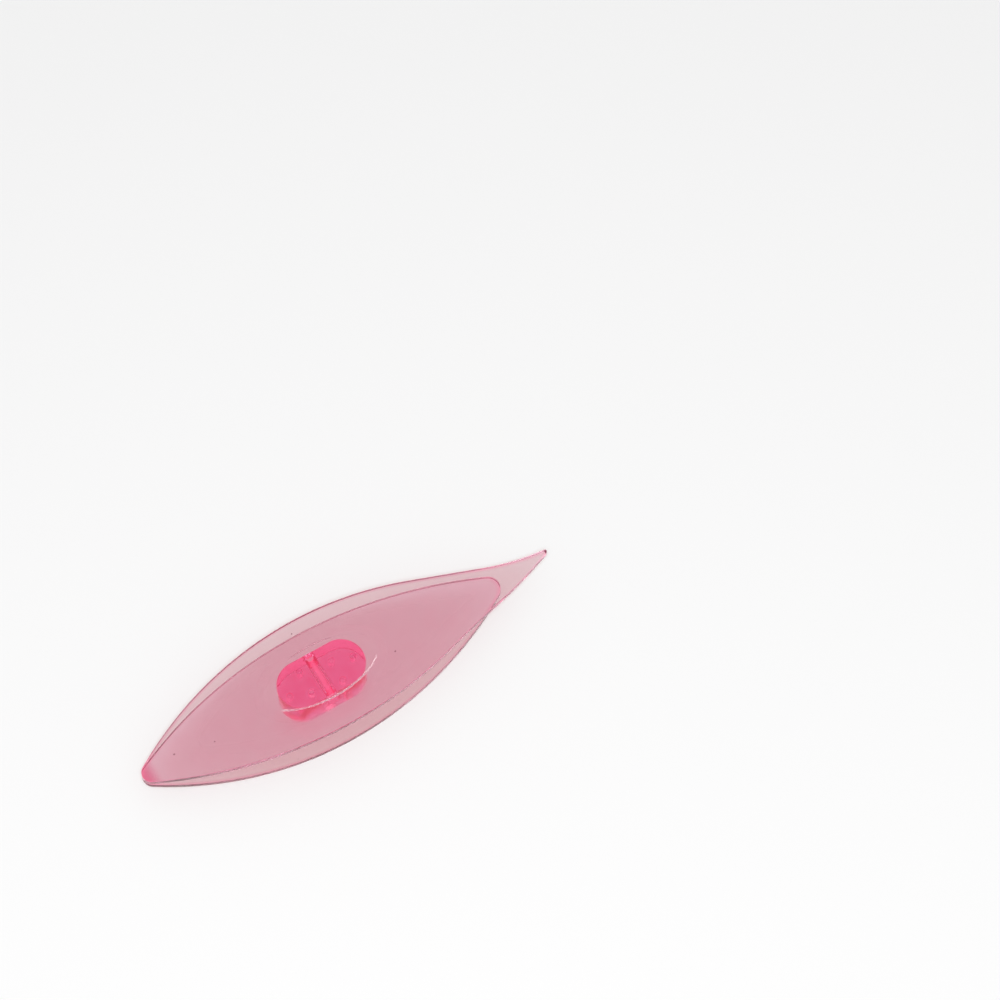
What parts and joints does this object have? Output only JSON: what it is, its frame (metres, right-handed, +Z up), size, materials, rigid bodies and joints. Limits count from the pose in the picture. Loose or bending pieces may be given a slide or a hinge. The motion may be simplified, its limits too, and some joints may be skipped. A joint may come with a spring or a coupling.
{
  "type": "tatting shuttle",
  "caption": "Tatting shuttle: bowed leaf-shaped blades that close at the tips on an oblong thread post with a cross hole; the upper blade ends in an upturned pick.",
  "frame": {"origin": "middle of the thread hole, at the centre of the post", "axes": "+X along the shuttle towards the pick, +Y along the thread hole, +Z up from the short blade to the pick blade"},
  "size_m": [0.07, 0.0186, 0.0084],
  "materials": {
    "blade_plastic": "polished, see-through, pale pink",
    "post_plastic": "polished, see-through, deeper pink"
  },
  "bodies": {
    "root": {"pick_blade": "blade_plastic", "short_blade": "blade_plastic", "post": "post_plastic"}
  },
  "joints": []
}
